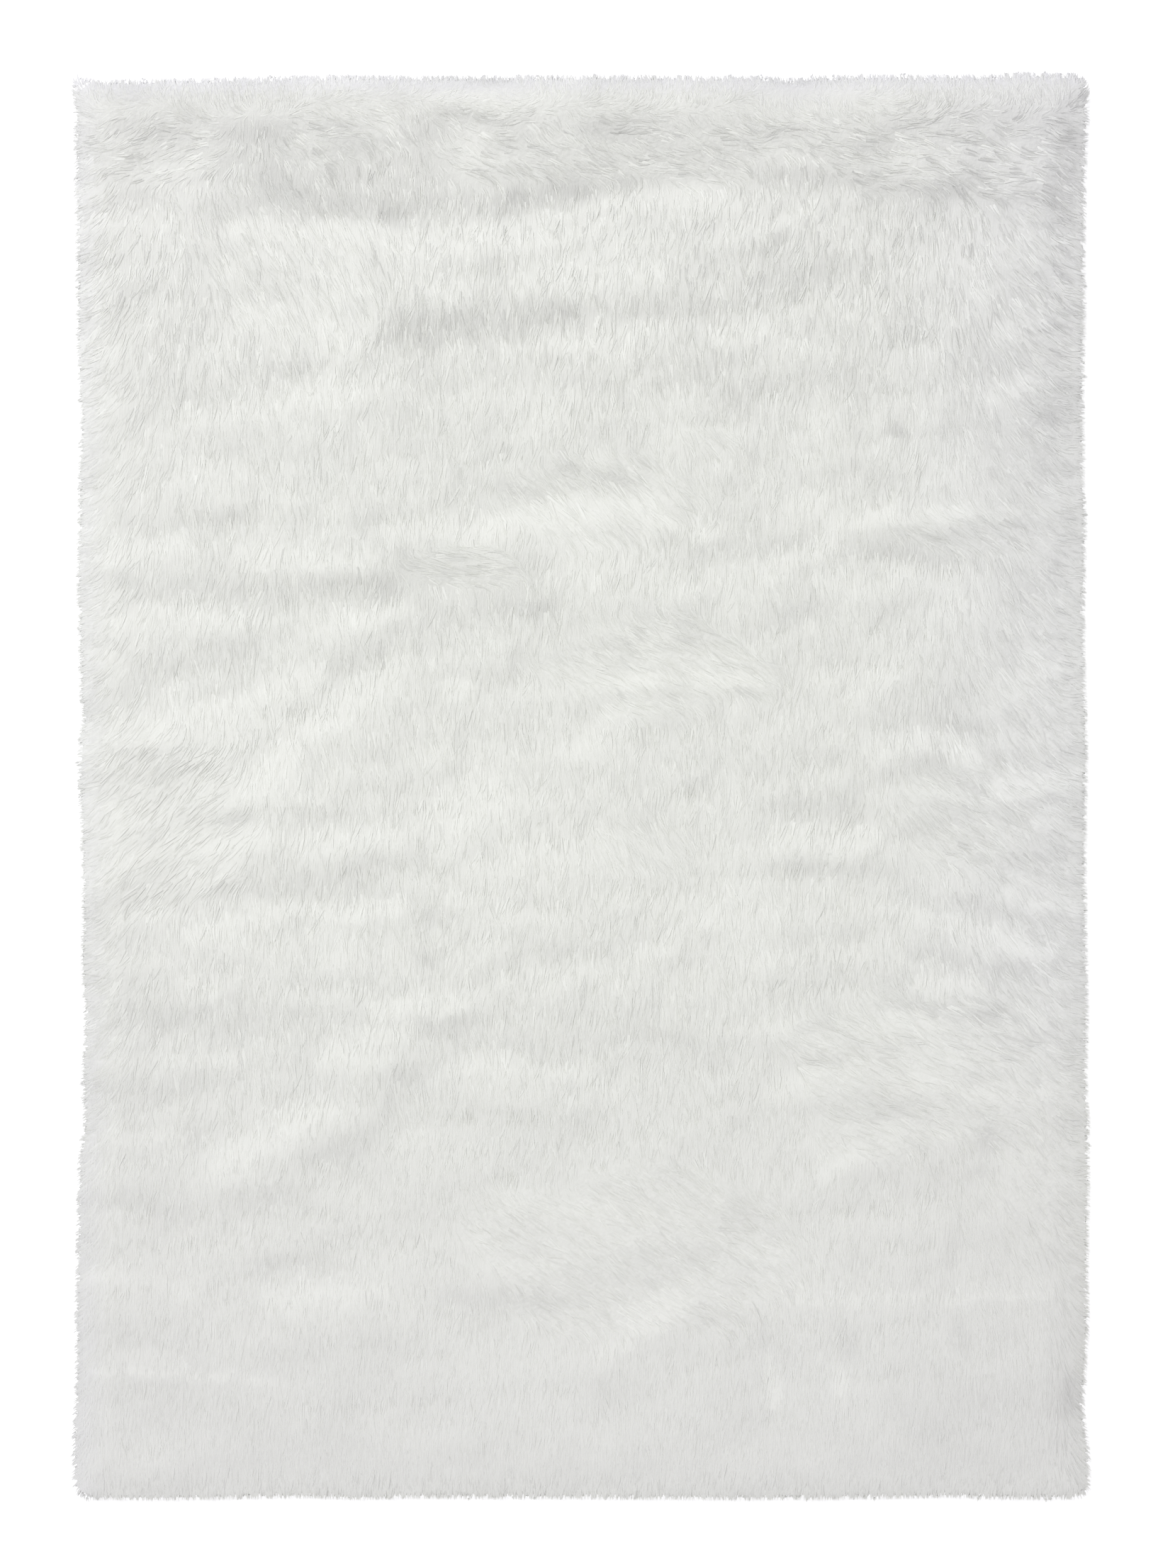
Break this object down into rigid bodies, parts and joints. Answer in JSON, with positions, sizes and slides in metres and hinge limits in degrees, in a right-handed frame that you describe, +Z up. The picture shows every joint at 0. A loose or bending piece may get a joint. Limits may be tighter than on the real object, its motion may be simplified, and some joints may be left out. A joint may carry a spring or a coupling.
{
  "type": "shag rug",
  "caption": "Rectangular white shag rug lying flat, its long pile combed one way in soft folds, with pointed locks lying out on the floor round its rim.",
  "frame": {"origin": "on the floor under the middle of the rug's box", "axes": "+Z up out of the pile; +Y along the length, against the way that the pile is combed; +X across, to the right when the pile falls towards the viewer"},
  "size_m": [1.5216, 2.1328, 0.0458],
  "materials": {
    "white_pile": "soft matt long pile"
  },
  "bodies": {
    "root": {"shag_pile": "white_pile"}
  },
  "joints": []
}
